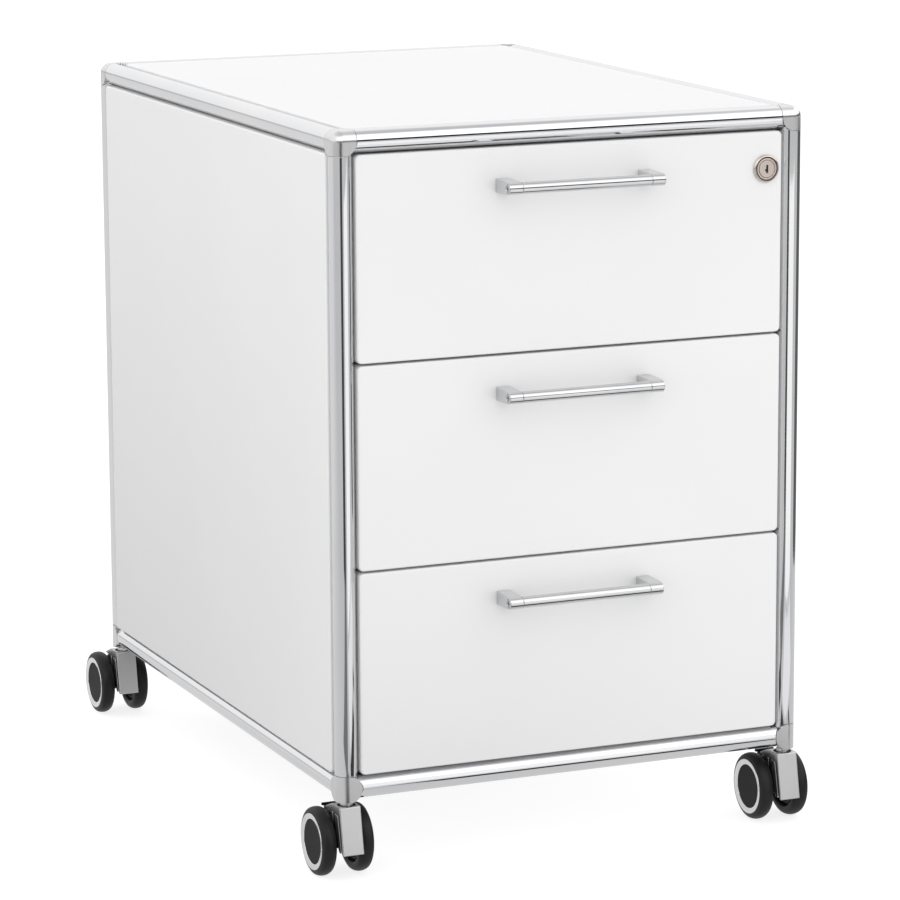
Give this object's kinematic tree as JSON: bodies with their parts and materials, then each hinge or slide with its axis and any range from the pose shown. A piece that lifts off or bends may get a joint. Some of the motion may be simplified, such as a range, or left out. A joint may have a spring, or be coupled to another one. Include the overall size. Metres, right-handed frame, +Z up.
{
  "type": "mobile filing cabinet",
  "caption": "Mobile filing cabinet with a chromed tube frame, flush white steel panels, drawers with bar handles, a cam lock and twin-wheel castors.",
  "frame": {"origin": "on the floor, at the centre of the outer box of the whole cabinet with its drawers closed", "axes": "+Z up, the drawer fronts face -Y, +X to the right of someone facing them"},
  "size_m": [0.4526, 0.66, 0.6228],
  "materials": {
    "chrome": "mirror polished chrome plating",
    "white_paint": "white powder coat, satin, very fine orange peel",
    "zinc": "bright zinc plating, satin",
    "steel": "turned steel, satin",
    "nickel": "warm polished nickel",
    "tyre": "black tread on a black hub disc, with a bright dished ring",
    "black_plastic": "fine-grained black plastic"
  },
  "bodies": {
    "cabinet": {"rail_bottom_front": "chrome", "rail_bottom_rear": "chrome", "rail_bottom_left": "chrome", "rail_bottom_right": "chrome", "rail_top_front": "chrome", "rail_top_rear": "chrome", "rail_top_left": "chrome", "rail_top_right": "chrome", "post_front_left": "chrome", "connector_top_front_left": "chrome", "connector_bottom_front_left": "chrome", "post_front_right": "chrome", "connector_top_front_right": "chrome", "connector_bottom_front_right": "chrome", "post_rear_left": "chrome", "connector_top_rear_left": "chrome", "connector_bottom_rear_left": "chrome", "post_rear_right": "chrome", "connector_top_rear_right": "chrome", "connector_bottom_rear_right": "chrome", "panel_left": "white_paint", "panel_right": "white_paint", "panel_rear": "white_paint", "panel_top": "white_paint", "panel_base": "white_paint", "runner_bottom_right": "zinc", "runner_bottom_left": "zinc", "runner_middle_right": "zinc", "runner_middle_left": "zinc", "runner_top_right": "zinc", "runner_top_left": "zinc"},
    "drawer_bottom": {"drawer_bottom_front": "white_paint", "drawer_bottom_box": "white_paint", "drawer_bottom_handle": "chrome"},
    "drawer_middle": {"drawer_middle_front": "white_paint", "drawer_middle_box": "white_paint", "drawer_middle_handle": "chrome"},
    "drawer_top": {"drawer_top_front": "white_paint", "drawer_top_box": "white_paint", "drawer_top_handle": "chrome", "lock_housing": "nickel"},
    "lock_plug": {"lock_plug": "nickel"},
    "castor_front_left": {"castor_front_left_housing": "chrome", "castor_front_left_axle": "steel"},
    "castor_front_left_wheel_left": {"castor_front_left_wheel_left": "tyre"},
    "castor_front_left_wheel_right": {"castor_front_left_wheel_right": "tyre"},
    "castor_front_left_brake": {"castor_front_left_brake_lever": "black_plastic"},
    "castor_front_right": {"castor_front_right_housing": "chrome", "castor_front_right_axle": "steel"},
    "castor_front_right_wheel_left": {"castor_front_right_wheel_left": "tyre"},
    "castor_front_right_wheel_right": {"castor_front_right_wheel_right": "tyre"},
    "castor_front_right_brake": {"castor_front_right_brake_lever": "black_plastic"},
    "castor_rear_left": {"castor_rear_left_housing": "chrome", "castor_rear_left_axle": "steel"},
    "castor_rear_left_wheel_left": {"castor_rear_left_wheel_left": "tyre"},
    "castor_rear_left_wheel_right": {"castor_rear_left_wheel_right": "tyre"},
    "castor_rear_right": {"castor_rear_right_housing": "chrome", "castor_rear_right_axle": "steel"},
    "castor_rear_right_wheel_left": {"castor_rear_right_wheel_left": "tyre"},
    "castor_rear_right_wheel_right": {"castor_rear_right_wheel_right": "tyre"}
  },
  "joints": [
    {"name": "drawer_bottom_slide", "type": "slide", "parent": "cabinet", "child": "drawer_bottom", "axis": [0, -1, 0], "range_m": [0, 0.4]},
    {"name": "drawer_middle_slide", "type": "slide", "parent": "cabinet", "child": "drawer_middle", "axis": [0, -1, 0], "range_m": [0, 0.4]},
    {"name": "drawer_top_slide", "type": "slide", "parent": "cabinet", "child": "drawer_top", "axis": [0, -1, 0], "range_m": [0, 0.4]},
    {"name": "lock_turn", "type": "hinge", "parent": "drawer_top", "child": "lock_plug", "pos_m": [0.1765, -0.3005, 0.5715], "axis": [0, -1, 0], "range_deg": [0, 90]},
    {"name": "castor_front_left_swivel", "type": "hinge", "parent": "cabinet", "child": "castor_front_left", "pos_m": [-0.2025, -0.293, 0.0783], "axis": [0, 0, 1], "continuous": true},
    {"name": "castor_front_left_wheel_left_spin", "type": "hinge", "parent": "castor_front_left", "child": "castor_front_left_wheel_left", "pos_m": [-0.2025, -0.272, 0.029], "axis": [1, 0, 0], "continuous": true},
    {"name": "castor_front_left_wheel_right_spin", "type": "hinge", "parent": "castor_front_left", "child": "castor_front_left_wheel_right", "pos_m": [-0.2025, -0.272, 0.029], "axis": [1, 0, 0], "continuous": true},
    {"name": "castor_front_left_brake_press", "type": "hinge", "parent": "castor_front_left", "child": "castor_front_left_brake", "pos_m": [-0.2025, -0.264, 0.0483], "axis": [-1, 0, 0], "range_deg": [0, 12]},
    {"name": "castor_front_right_swivel", "type": "hinge", "parent": "cabinet", "child": "castor_front_right", "pos_m": [0.2025, -0.293, 0.0783], "axis": [0, 0, 1], "continuous": true},
    {"name": "castor_front_right_wheel_left_spin", "type": "hinge", "parent": "castor_front_right", "child": "castor_front_right_wheel_left", "pos_m": [0.2025, -0.272, 0.029], "axis": [1, 0, 0], "continuous": true},
    {"name": "castor_front_right_wheel_right_spin", "type": "hinge", "parent": "castor_front_right", "child": "castor_front_right_wheel_right", "pos_m": [0.2025, -0.272, 0.029], "axis": [1, 0, 0], "continuous": true},
    {"name": "castor_front_right_brake_press", "type": "hinge", "parent": "castor_front_right", "child": "castor_front_right_brake", "pos_m": [0.2025, -0.264, 0.0483], "axis": [-1, 0, 0], "range_deg": [0, 12]},
    {"name": "castor_rear_left_swivel", "type": "hinge", "parent": "cabinet", "child": "castor_rear_left", "pos_m": [-0.2025, 0.28, 0.0783], "axis": [0, 0, 1], "continuous": true},
    {"name": "castor_rear_left_wheel_left_spin", "type": "hinge", "parent": "castor_rear_left", "child": "castor_rear_left_wheel_left", "pos_m": [-0.2025, 0.301, 0.029], "axis": [1, 0, 0], "continuous": true},
    {"name": "castor_rear_left_wheel_right_spin", "type": "hinge", "parent": "castor_rear_left", "child": "castor_rear_left_wheel_right", "pos_m": [-0.2025, 0.301, 0.029], "axis": [1, 0, 0], "continuous": true},
    {"name": "castor_rear_right_swivel", "type": "hinge", "parent": "cabinet", "child": "castor_rear_right", "pos_m": [0.2025, 0.28, 0.0783], "axis": [0, 0, 1], "continuous": true},
    {"name": "castor_rear_right_wheel_left_spin", "type": "hinge", "parent": "castor_rear_right", "child": "castor_rear_right_wheel_left", "pos_m": [0.2025, 0.301, 0.029], "axis": [1, 0, 0], "continuous": true},
    {"name": "castor_rear_right_wheel_right_spin", "type": "hinge", "parent": "castor_rear_right", "child": "castor_rear_right_wheel_right", "pos_m": [0.2025, 0.301, 0.029], "axis": [1, 0, 0], "continuous": true}
  ]
}
